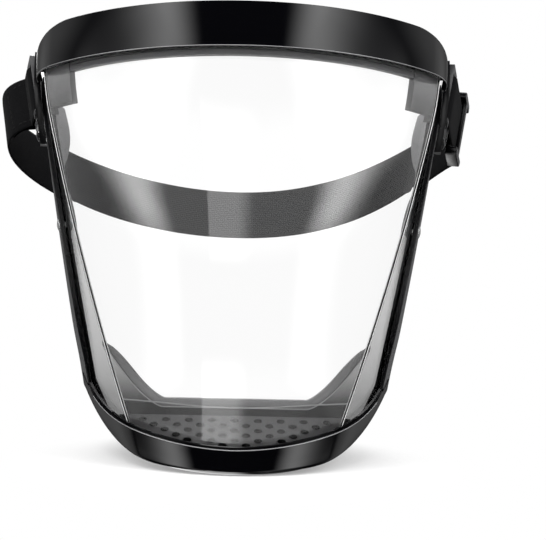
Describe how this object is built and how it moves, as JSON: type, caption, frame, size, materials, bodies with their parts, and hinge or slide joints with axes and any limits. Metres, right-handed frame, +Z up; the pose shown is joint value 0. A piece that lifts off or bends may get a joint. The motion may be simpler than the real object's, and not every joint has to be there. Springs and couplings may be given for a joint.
{
  "type": "face shield",
  "caption": "Full-face shield: clear creased wrap-round lens in a black frame with brow band, vented chin bar, soft cheek arms and an adjustable webbing head strap.",
  "frame": {"origin": "on the flat underside of the chin bar, on the mid plane, under the front of the lens", "axes": "+Z up when worn; -Y the way the wearer looks, so the lens is at -Y and the strap at +Y; +X to the wearer's left"},
  "size_m": [0.2436, 0.2341, 0.2],
  "materials": {
    "clear_lens": "clear polycarbonate, polished",
    "clear_pin": "clear moulded plastic",
    "gloss_black": "gloss black ABS",
    "satin_black": "satin black ABS",
    "moulded_grey": "fine-textured dark grey ABS",
    "soft_black": "matte soft-touch elastomer",
    "webbing": "black woven polyester webbing"
  },
  "bodies": {
    "frame": {"visor_lens": "clear_lens", "brow_band": "gloss_black", "brow_rail": "moulded_grey", "left_temple_tab": "moulded_grey", "right_temple_tab": "moulded_grey", "left_side_rail": "satin_black", "right_side_rail": "satin_black", "left_cheek_arm": "soft_black", "right_cheek_arm": "soft_black", "chin_bar": "gloss_black", "vent_plate": "moulded_grey", "chin_riser": "satin_black", "chin_rim": "soft_black", "left_strap_lug": "satin_black", "right_strap_lug": "satin_black", "left_lug_rivet": "satin_black", "right_lug_rivet": "satin_black", "left_arm_rivet": "satin_black", "right_arm_rivet": "satin_black", "left_lens_snap": "clear_pin", "right_lens_snap": "clear_pin", "left_brow_peg": "satin_black", "right_brow_peg": "satin_black", "head_strap": "webbing"},
    "slider": {"strap_slider": "satin_black"}
  },
  "joints": [
    {"name": "strap_adjust", "type": "slide", "parent": "frame", "child": "slider", "axis": [0.2521, 0.8927, -0.3735], "range_m": [-0.005, 0.005]}
  ]
}
